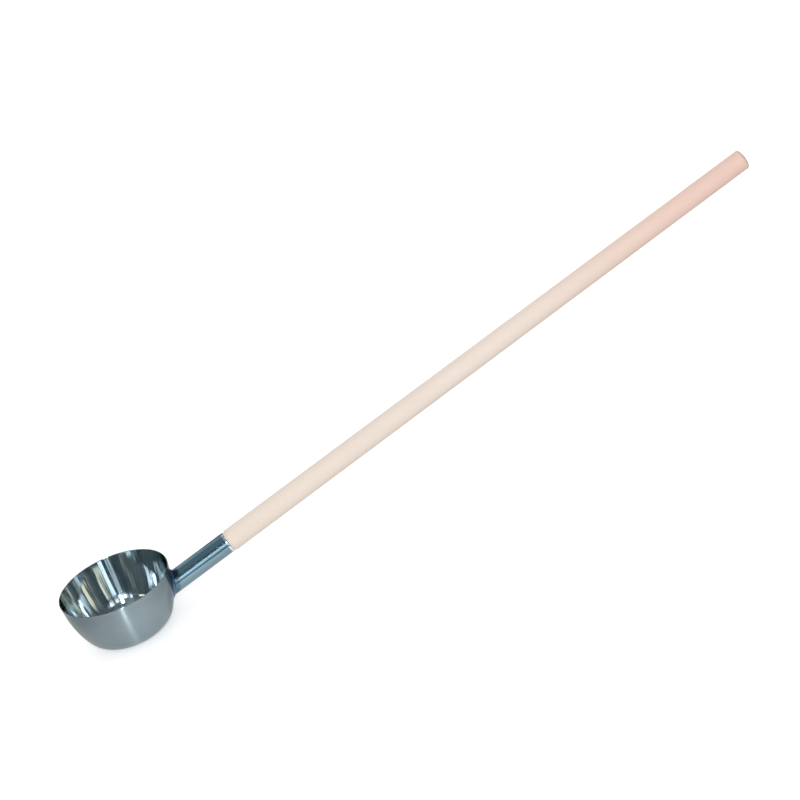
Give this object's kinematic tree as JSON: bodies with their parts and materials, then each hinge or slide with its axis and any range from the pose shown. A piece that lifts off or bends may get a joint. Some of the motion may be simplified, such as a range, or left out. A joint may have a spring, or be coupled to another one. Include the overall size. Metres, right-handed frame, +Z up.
{
  "type": "water dipper",
  "caption": "Round stainless bowl dipper with a welded tube socket and a long, slightly tapered wooden handle.",
  "frame": {"origin": "centre of the bowl's flat base, on the surface it stands on", "axes": "+Z up through the bowl's mouth, +X the side to which the handle rises, the handle's axis lies in the XZ plane"},
  "size_m": [1.0434, 0.15, 0.2756],
  "materials": {
    "bowl_steel": "polished inside, satin outside",
    "socket_steel": "drawn tube, lightly polished",
    "weld_steel": "brushed weld with heat tint",
    "handle_wood": "sanded bare pale wood",
    "screw_steel": "plain"
  },
  "bodies": {
    "root": {"bowl": "bowl_steel", "handle_socket": "socket_steel", "socket_weld": "weld_steel", "wooden_handle": "handle_wood", "handle_screw": "screw_steel"}
  },
  "joints": []
}
